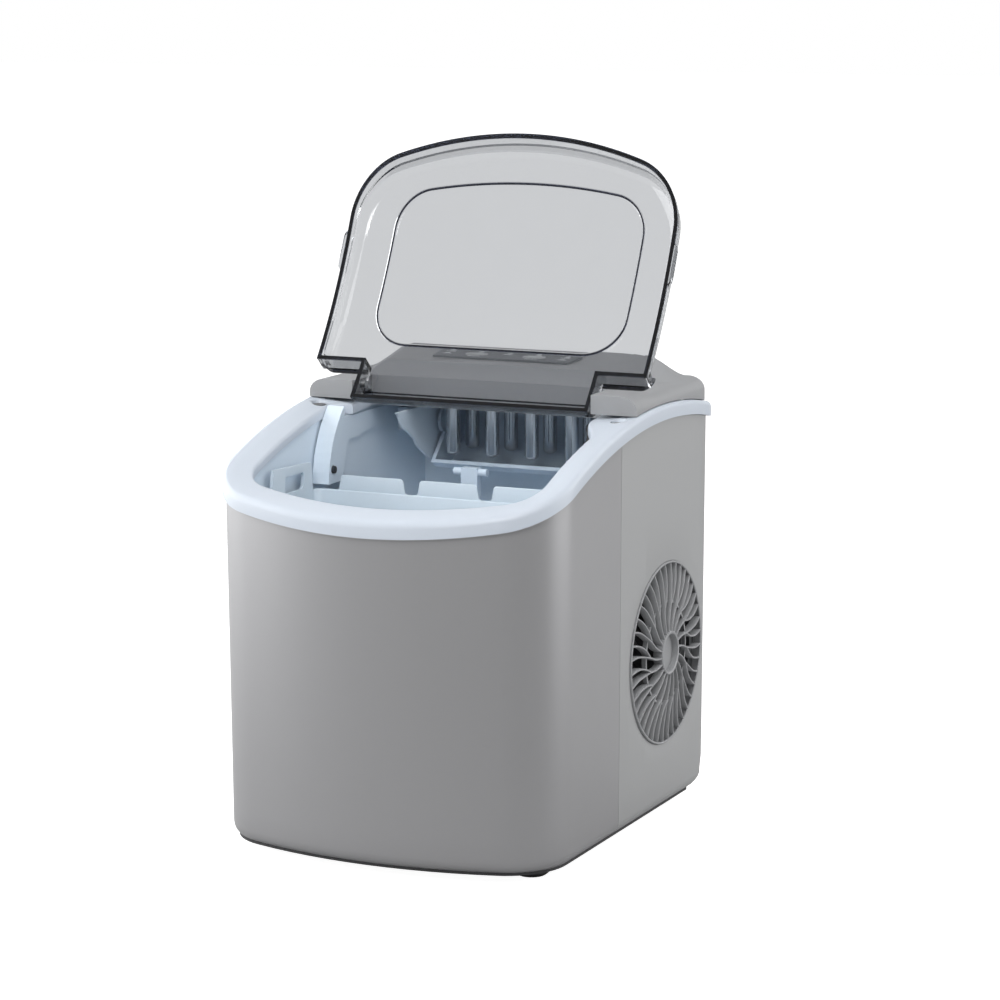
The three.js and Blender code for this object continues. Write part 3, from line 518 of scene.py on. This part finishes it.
# ---------- lid ----------
def window_path(grow):
    """The window outline on the lid, with as many points as the lid's own outline."""
    half, rear, rear_r, front_r, bow = (WINDOW_HALF + grow, WINDOW_REAR + grow, WINDOW_R + grow,
                                        WINDOW_R + grow, WINDOW_BOW)
    along = math.sqrt((bow - front_r) ** 2 - (half - front_r) ** 2)
    meet = math.degrees(math.asin(along / (bow - front_r)))
    centre_y = WINDOW_FRONT - grow + bow - along
    right = [(half, -46.0)] + between((half, -46.0), (half, centre_y), 20)
    bend = arc(half - front_r, centre_y, front_r, 0, -meet, 18)
    front = arc(0, WINDOW_FRONT - grow + bow, bow, -meet, -180 + meet, 34)[1:-1]
    back = [(-x, y) for x, y in reversed(right + bend)]
    rear_corner = arc(-half + rear_r, rear - rear_r, rear_r, 180, 90, 12)
    rear_line = between((-half + rear_r, rear), (half - rear_r, rear), 50)
    return right + bend + front + back + rear_corner + rear_line + [(-x, y) for x, y in reversed(rear_corner)]


def tongue_drop(y, base=0.0):
    """How far the rounded end of the tongue has dropped below the lid's top line."""
    r = LID_FILLET - base
    past = min(max(y - (TONGUE_BACK - LID_FILLET), 0.0), r)
    return base + r - math.sqrt(r * r - past * past)


def lid_path(inset):
    """The lid skin's outline: front U, rear corners, and the tongue between the ears."""
    w, back, tongue, end = LID_HALF - inset, LID_BACK - inset * 0.25, TONGUE_HALF - inset, TONGUE_BACK - inset
    front = front_path(LID_HALF, LID_FRONT, inset, -20.0)
    r = max(8.0 - inset * 0.5, 1.0)
    left = arc(-w + r, back - r, r, 180, 90, 12) + between((-w + r, back), (-tongue, back), 5)
    left += [(-tongue, back)] + between((-tongue, back), (-tongue, end), 9) + [(-tongue, end)]
    return front + left + between((-tongue, end), (tongue, end), 18) + [(-x, y) for x, y in reversed(left)]


def lid_place():
    pivot = Vector((0, HINGE_Y, HINGE_Z)) * MM
    return (Matrix.Translation(pivot) @ Matrix.Rotation(math.radians(-LID_OPEN), 4, "X")
            @ Matrix.Translation(-pivot))


def flange_path(d, count=14):
    """The skirt's own outline: the front U, a step in at the back, and round the tongue."""
    w, notch, tongue, back = LID_HALF - d, FLANGE_BACK - d, TONGUE_HALF - d, TONGUE_BACK - d
    front = front_path(LID_HALF, LID_FRONT, d, notch, side_count=30)
    left = [(-tongue, notch)] + between((-tongue, notch), (-tongue, back), count) + [(-tongue, back)]
    step = between((-w, notch), (-tongue, notch), count)
    end = between((-tongue, back), (tongue, back), 2 * count)
    return front + step + left + end + [(-x, y) for x, y in reversed(step + left)]


def flange_z(y, lift):
    return arch(y, RIM_HEIGHT + 0.3 + lift)


def build_lid():
    def skin(path, dz=0.0):
        return [(x, y, lid_top(y) + dz) for x, y in path]

    def fillet_ring(base, degrees):
        a = math.radians(degrees)
        r = LID_FILLET
        row = []
        for x, y in lid_path(base + (r - base) * (1 - math.cos(a))):
            drop = (r - base) * (1 - math.sin(a)) + base
            if y > FLANGE_BACK - 6:
                drop = tongue_drop(y, base)
            row.append((x, y, lid_top(y) - drop))
        return row

    def window_ring(grow, dz, share=0.0):
        return skin([mix(p, OPENING_CENTRE, share) for p in window_path(grow)], dz)

    shares = (0.12, 0.3, 0.5, 0.7, 0.85, 0.95, 1.0)
    outer = [fillet_ring(0, d) for d in (0, 15, 30, 45, 60, 75, 90)]
    outer += [skin([mix(a, b, t) for a, b in zip(lid_path(LID_FILLET), window_path(1.4))]) for t in (0.3, 0.6)]
    outer += [window_ring(1.1, 0.0)] + [window_ring(-1.1, 0.0, t) for t in shares]
    inner = [window_ring(-1.1, -LID_SKIN, t) for t in reversed(shares)]
    inner += [window_ring(-1.1, -LID_SKIN), window_ring(-0.6, 0.8 - LID_SKIN), window_ring(0.6, 0.8 - LID_SKIN),
              window_ring(1.1, -LID_SKIN), skin(lid_path(LID_FILLET), -LID_SKIN)]
    inner += [fillet_ring(LID_SKIN, d) for d in (75, 60, 45, 30, 15, 0)]
    place = lid_place()
    sheet = Form().loft(outer + inner, close_rows=True, close_cols=True)
    lid_pieces = [sheet.piece("lid_pane", "smoky_clear", "lid", ["lid"], 40, place)]

    def wall(d, share):
        row = []
        for x, y in flange_path(d):
            low = flange_z(y, EDGE_HEIGHT + 0.05)
            drop = LID_FILLET if y < FLANGE_BACK - 3 else max(LID_SKIN, tongue_drop(y))
            high = lid_top(y) - drop - 0.05
            row.append((x, y, low + (high - low) * share))
        return row

    skirt = Form().loft([wall(0, 0), wall(0, 0.5), wall(0, 1), wall(LID_SKIN, 1), wall(LID_SKIN, 0.5),
                         wall(LID_SKIN, 0)], close_rows=True, close_cols=True)
    for side in (-1, 1):
        bulge = ((0.02, -79.5), (2.0, -77.5), (2.4, -75), (2.4, -57), (2.0, -54.5), (0.02, -52.5))
        tab = [(side * (LID_HALF + d), y) for d, y in bulge]
        skirt.loft([[(x, y, flange_z(y, lift)) for x, y in tab] for lift in (0.3, 3.0)],
                   close_cols=True, caps=True)
    lid_pieces.append(skirt.piece("lid_skirt", "smoky_clear", "lid", (), 40, place))

    # Thin near-black glass strips that paint shade where the pane looks dark: a band along the skirt's lower
    # edge, a ring in the window groove, and bars across the tongue and along the rear corners.
    edge = Form()
    band = ((-0.1, 0), (-0.1, EDGE_HEIGHT), (LID_SKIN + 0.1, EDGE_HEIGHT), (LID_SKIN + 0.1, 0))
    edge.loft([[(x, y, flange_z(y, lift)) for x, y in flange_path(d)] for d, lift in band],
              close_rows=True, close_cols=True)
    # Ring of painted shade in the window groove.
    groove = ((0.5, -0.1), (0.5, 0.7), (-0.5, 0.7), (-0.5, -0.1))
    edge.loft([[(x, y, lid_top(y) - LID_SKIN + dz) for x, y in window_path(grow)] for grow, dz in groove],
              close_rows=True, close_cols=True)
    # Bars of painted shade across the tongue and along the rear corners of the pane.
    t, b = TONGUE_HALF, TONGUE_BACK
    for y, drop in ((b - LID_FILLET - 1.0, LID_SKIN + 0.3), (b - LID_SKIN - 0.4, LID_FILLET - 1.5)):
        z = lid_top(y) - drop
        tube([(-t + 3, y, z), (t - 3, y, z)], 0.6, 8, edge)
    for side in (-1, 1):
        w, back = LID_HALF - 0.2, LID_BACK - 0.9
        line = [(-TONGUE_HALF, back)] + list(reversed(arc(-w + 8.0, back - 8.0, 8.0, 180, 90, 10)))
        tube([(-side * x, y, lid_top(y) - LID_SKIN / 2) for x, y in line], LID_SKIN / 2 + 0.1, 8, edge)
    lid_pieces.append(edge.piece("lid_painted_edge_shade", "painted_edge_shade", "lid", (), 40, place))
    for piece in lid_pieces:
        piece.visible_shadow = False


# ---------- rear cover ----------
def plateau_half(y):
    """Half-widths of the plateau at height y: its top edge, a middle line, and the foot of its sides."""
    t = min(max((y - COVER_FRONT) / (CREST_Y - COVER_FRONT), 0.0), 1.0)
    top, foot = 75.5 + 12.0 * t, 94.0 + 20.0 * t
    return top, top + (foot - top) * (RECESS_HALF - 75.5) / 18.5, foot


def cover_top(x, y):
    """Height of the cover: flat ears, a raised control plateau, and rounded sides and back."""
    side, rear = (abs(x) - EAR_FLAT) / (COVER_HALF - EAR_FLAT), (y - REAR_FLAT) / (COVER_BACK - REAR_FLAT)
    a, b = max(side, 0.0), max(rear, 0.0)
    out = min(math.hypot(a, b), 1.0)
    depth = 8.7 + (5.3 * b * b / (a * a + b * b) if b > 0 else 0.0)
    z = EAR_TOP - depth * (1 - math.sqrt(max(0.0, 1 - out * out)))
    top, _, foot = plateau_half(y)
    across = min(max((foot - abs(x)) / (foot - top), 0.0), 1.0)
    front = min(max((y - COVER_FRONT) / 5.2, 0.0), 1.0) ** 1.5
    rise = (across * 0.45 + smooth(across) * 0.55) * front * smooth((131.0 - y) / 22.0)
    plateau = PLATEAU_Z + PLATEAU_SLOPE * (min(y, CREST_Y) - PLATEAU_FRONT_Y)
    return z + max(0.0, plateau - EAR_TOP) * rise


def ticks(values, fine):
    """Even steps no longer than fine between the given values."""
    out = []
    for a, b in zip(values, values[1:]):
        steps = max(1, round((b - a) / fine))
        out += [a + (b - a) * i / steps for i in range(steps)]
    return out + [values[-1]]


def cover_columns(y):
    """Distances from the middle of the cover's grid lines at y; they follow the plateau's edges."""
    top, middle, foot = plateau_half(y)
    inner = [top * k / 16 for k in range(17)]
    slope = [top + (middle - top) * k / 8 for k in range(1, 9)]
    slope += [middle + (foot - middle) * k / 6 for k in range(1, 7)]
    outer = [foot + (COVER_HALF - foot) * math.sin(math.radians(90 * k / 14)) for k in range(1, 15)]
    half = inner + slope + outer
    return [-x for x in reversed(half[1:])] + half


def over_key(x, y, z):
    """True under the two keys, where the panel film hides an opening in the cover."""
    return abs(abs(x) - KEY_X) < KEY_HALF and abs(y - KEY_Y) < KEY_DEPTH and z > EAR_TOP


def build_cover():
    round_off = [math.sin(math.radians(d)) for d in (10, 20, 30, 40, 50, 60, 70, 80, 90)]
    ys = ticks([EAR_FRONT, COVER_FRONT], 3.6) + ticks([COVER_FRONT, 50], 0.55)[1:] + ticks([50, 104], 4)[1:]
    ys += ticks([104, REAR_FLAT], 1.4)[1:] + [REAR_FLAT + (COVER_BACK - REAR_FLAT) * t for t in round_off]
    bm = bmesh.new()
    grid = {}
    width = len(cover_columns(0.0))
    for j, y in enumerate(ys):
        for i, x in enumerate(cover_columns(y)):
            a, b = (abs(x) - EAR_FLAT) / (COVER_HALF - EAR_FLAT), (y - REAR_FLAT) / (COVER_BACK - REAR_FLAT)
            px, py = x, y
            if a > 0 and b > 0:
                px = math.copysign(EAR_FLAT + (COVER_HALF - EAR_FLAT) * a * math.sqrt(1 - b * b / 2), x)
                py = REAR_FLAT + (COVER_BACK - REAR_FLAT) * b * math.sqrt(1 - a * a / 2)
            grid[i, j] = bm.verts.new((px, py, cover_top(px, py)))
    for i in range(width - 1):
        for j in range(len(ys) - 1):
            middle = cover_columns(ys[j])[i] + cover_columns(ys[j])[i + 1]
            if abs(middle) / 2 < RECESS_HALF and ys[j] < COVER_FRONT - 0.01:
                continue
            bm.faces.new([grid[i, j], grid[i + 1, j], grid[i + 1, j + 1], grid[i, j + 1]])
    bmesh.ops.delete(bm, geom=[v for v in bm.verts if not v.link_faces], context="VERTS")
    rim = [e for e in bm.edges if e.is_boundary]
    down = bmesh.ops.extrude_edge_only(bm, edges=rim)["geom"]
    for v in [g for g in down if isinstance(g, bmesh.types.BMVert)]:
        low = arch(v.co.y, RIM_HEIGHT + 0.5)
        if abs(v.co.x) < 86.0 and v.co.y < COVER_FRONT + 1:
            low = 268.0
        v.co.z = min(low, v.co.z - 0.05)
    bmesh.ops.delete(bm, geom=[f for f in bm.faces if over_key(*f.calc_center_median())], context="FACES")
    form = Form()
    bm.verts.index_update()
    form.verts = [tuple(v.co) for v in bm.verts]
    form.faces = [tuple(v.index for v in f.verts) for f in bm.faces]
    bm.free()
    obj = form.piece("cover_shell", "grey_plastic", "housing", ["rear_cover"], 50)
    thick = obj.modifiers.new("thick", "SOLIDIFY")
    thick.thickness = 0.0022
    thick.offset = -1
    bevel = obj.modifiers.new("bevel", "BEVEL")
    bevel.width = 0.0011
    bevel.segments = 3
    bevel.limit_method = "ANGLE"
    bevel.angle_limit = math.radians(55)


# ---------- freezing fingers ----------
def build_fingers():
    number = 1
    turns = [math.radians(degrees) for degrees in (0, 20, 40, 60, 75, 90)]
    tip = [(FINGER_R * math.sin(a), 3.2 * (1 - math.cos(a))) for a in turns]
    for y in FINGER_ROWS:
        for step in (-1.5, -0.5, 0.5, 1.5):
            turned_form(tip + [(FINGER_R, FINGER_TOP - FINGER_TIP), (0, FINGER_TOP - FINGER_TIP)],
                        (step * FINGER_PITCH, y, FINGER_TIP)).piece(
                f"finger_{number}", "nickel", "housing", [f"freezing_finger_{number}"], 50)
            number += 1


# ---------- ice basket ----------
def basket_path(inset):
    shift = RIM_HALF - BASKET_HALF
    front = front_path(RIM_HALF, BASKET_FRONT - shift, shift + inset, BASKET_BACK - 6, side_count=46)
    w, b, r = BASKET_HALF - inset, BASKET_BACK - inset, 6.0 - inset
    corner = arc(-w + r, BASKET_BACK - 6.0, r, 180, 90, 6)[1:]
    rear = between((-w + r, b), (w - r, b), 120)
    return front + corner + rear + [(-x, y) for x, y in reversed(corner)]


def ramp(value, low, high, width):
    return smooth((value - low) / width) * smooth((high - value) / width)


def basket_top(x, y, tabs=True):
    z = 214.0 + 5.5 * (y - BASKET_FRONT) / (BASKET_BACK - BASKET_FRONT)
    if y > BASKET_BACK - 4:
        if not tabs:
            return z
        return z + 10.0 * max(ramp(x, low, high, 2.6) for low, high in BASKET_TABS)
    if abs(x) > 90:
        return z + (GRIP_TOP - 0.04 * (y + 79.0) - z) * ramp(y, -80.0, -24.0, 3.0)
    return z


def build_basket():
    heights = [("z", BASKET_FLOOR, 3.0), ("z", BASKET_FLOOR + 0.8, 0.8), ("z", BASKET_FLOOR + 3.0, 0.0),
               ("tab", -30.0, 0.0), ("tab", -0.8, 0.0), ("tab", -0.2, 0.2), ("tab", 0.0, 0.5),
               ("tab", -0.1, 0.9),
               ("tab", -0.6, 1.15), ("edge", 0.0, 1.2), ("edge", -0.1, 1.8), ("edge", -0.7, 2.2),
               ("edge", -30.0, 2.2), ("z", BASKET_FLOOR + 4.5, 2.2), ("z", BASKET_FLOOR + 2.4, 4.2)]
    form = Form()
    lines = []
    for kind, value, inset in heights:
        points = basket_path(inset)
        lines.append([(x, y, value if kind == "z" else basket_top(x, y, kind == "tab") + value)
                      for x, y in points])
    for share in (0.5, 1.0):
        lines.append([(*mix((x, y), OPENING_CENTRE, share), BASKET_FLOOR + 2.4) for x, y, _ in lines[14]])
    for share in (1.0, 0.5):
        lines.append([(*mix((x, y), OPENING_CENTRE, share), BASKET_FLOOR) for x, y, _ in lines[0]])
    form.loft(lines, close_rows=True, close_cols=True)
    body = loose(form, "basket_shell")
    cutters = []
    for i in range(-2, 3):
        for j in range(3):
            x, y = i * SLOT_PITCH_X, SLOT_Y + j * SLOT_PITCH_Y
            slot = rounded_box(x - SLOT_HALF, x + SLOT_HALF, y, y + SLOT_WIDTH, 140, 160, 2.5)
            cutters.append(loose(slot, f"slot_{i}_{j}"))
    for x in (-1, 1):
        cutters.append(loose(rounded_box(x * 95 - 8, x * 95 + 8, -62, -37, 222, 233, 3.0), f"grip_{x}"))
    cut(body, cutters, "basket_blue", "ice_basket", ["ice_basket"], 45)


# ---------- stage ----------
def build_camera():
    place, target = Vector((0.8964, -1.846, 0.5693)), Vector((0.0, 0.04445, 0.2133))
    ahead = (target - place).normalized()
    right = ahead.cross(Vector((0, 0, 1))).normalized()
    up = right.cross(ahead)
    roll = math.radians(-0.17)
    right, up = right * math.cos(roll) + up * math.sin(roll), up * math.cos(roll) - right * math.sin(roll)
    data = bpy.data.cameras.new("camera")
    data.sensor_width, data.lens = 36.0, 115.2
    data.shift_x, data.shift_y = 0.01055, -0.00726
    data.clip_end = 50.0
    camera = bpy.data.objects.new("camera", data)
    camera.matrix_world = Matrix.Translation(place) @ Matrix((right, up, -ahead)).transposed().to_4x4()
    bpy.context.collection.objects.link(camera)
    bpy.context.scene.camera = camera


def area(name, place, aim, size, power, spread=180):
    data = bpy.data.lights.new(name, "AREA")
    data.shape = "RECTANGLE"
    data.size, data.size_y = size
    data.energy = power
    data.spread = math.radians(spread)
    lamp = bpy.data.objects.new(name, data)
    lamp.location = place
    lamp.rotation_mode = "QUATERNION"
    lamp.rotation_quaternion = (Vector(aim) - Vector(place)).to_track_quat("-Z", "Y")
    bpy.context.collection.objects.link(lamp)


def seen_directly(tree):
    """1 for what the camera sees, also through the clear lid; 0 for light that falls on the object."""
    path = tree.nodes.new("ShaderNodeLightPath")
    either = tree.nodes.new("ShaderNodeMath")
    either.operation = "MAXIMUM"
    tree.links.new(path.outputs["Is Camera Ray"], either.inputs[0])
    tree.links.new(path.outputs["Is Transmission Ray"], either.inputs[1])
    return either.outputs[0]


def scaled(tree, value, low, high):
    spread = tree.nodes.new("ShaderNodeMapRange")
    spread.inputs["To Min"].default_value = low
    spread.inputs["To Max"].default_value = high
    tree.links.new(value, spread.inputs["Value"])
    return spread.outputs["Result"]


def build_stage():
    mesh = bpy.data.meshes.new("floor")
    far = FLOOR_HALF
    mesh.from_pydata([(-far, -far, 0), (far, -far, 0), (far, far, 0), (-far, far, 0)], [], [(0, 1, 2, 3)])
    obj = bpy.data.objects.new("floor", mesh)
    bpy.context.collection.objects.link(obj)
    mat, bsdf = shader("floor_white", (0.5, 0.5, 0.5), 0.9)
    bsdf.inputs["Emission Color"].default_value = (1, 1, 1, 1)
    tree = mat.node_tree
    tree.links.new(scaled(tree, seen_directly(tree), 0.0, FLOOR_GLOW), bsdf.inputs["Emission Strength"])
    mesh.materials.append(mat)
    world = bpy.data.worlds.new("studio")
    world.use_nodes = True
    tree = world.node_tree
    background = tree.nodes["Background"]
    background.inputs["Color"].default_value = (1, 1, 1, 1)
    tree.links.new(scaled(tree, seen_directly(tree), WORLD_LIGHT, 1.0), background.inputs["Strength"])
    bpy.context.scene.world = world
    bpy.context.scene.view_settings.view_transform = "Standard"
    area("key", (-1.15, -0.2, 0.62), (0, -0.2, 0.3), (2.0, 1.2), KEY_POWER)
    area("top", (0.9, -1.0, 2.3), (0, 0, 0.25), (1.2, 1.2), TOP_POWER)
    area("side", (1.25, 0.75, 0.6), (0.1, 0.2, 0.2), (1.3, 1.2), SIDE_POWER)
    area("fill", (0.15, -0.8, 0.9), (0.0, 0.08, 0.25), (0.4, 0.4), FILL_POWER, spread=46)


# ---------- control panel marks and carried-over CAD nodes ----------
def build_marks():
    """Plain dots and bars on the panel film, with no lettering."""
    slope = math.atan(PLATEAU_SLOPE)
    z = PLATEAU_Z + PLATEAU_SLOPE * (PANEL_Y - PLATEAU_FRONT_Y) + FILM_LIFT
    place = (Matrix.Translation(Vector((0, PANEL_Y, z)) * MM)
             @ Matrix.Rotation(slope, 4, "X"))
    form = Form()
    for x in LAMP_XS:
        rounded_box(x - 3.4, x + 3.4, 1.9, 2.5, 0, MARK_HEIGHT, 0.25, form)
    for x in (-KEY_X, KEY_X):
        rounded_box(x - 4.5, x + 4.5, -7.4, -6.6, 0, MARK_HEIGHT, 0.3, form)
    for x in END_LAMP_XS:
        rounded_box(x - 3.0, x + 3.0, -4.2, -3.6, 0, MARK_HEIGHT, 0.25, form)
        rounded_box(x - 1.8, x + 1.8, -2.6, -2.0, 0, MARK_HEIGHT, 0.25, form)
    form.piece("panel_marks", "panel_mark", "housing", (), 35, place)


def dress_nodes():
    slots = {s["node"]: s["material_slot"] for s in frame["record"]["subparts"]}
    for name, node in frame["nodes"].items():
        node.data.materials.clear()
        node.data.materials.append(LOOK["screw_zinc" if name.startswith("rim_screw") else slots[name]])
        soften(node.data, 28)


build_camera()
build_stage()
dress_nodes()
build_shells()
build_grille()
build_rim()
build_lid()
build_cover()
build_fingers()
build_basket()
build_marks()
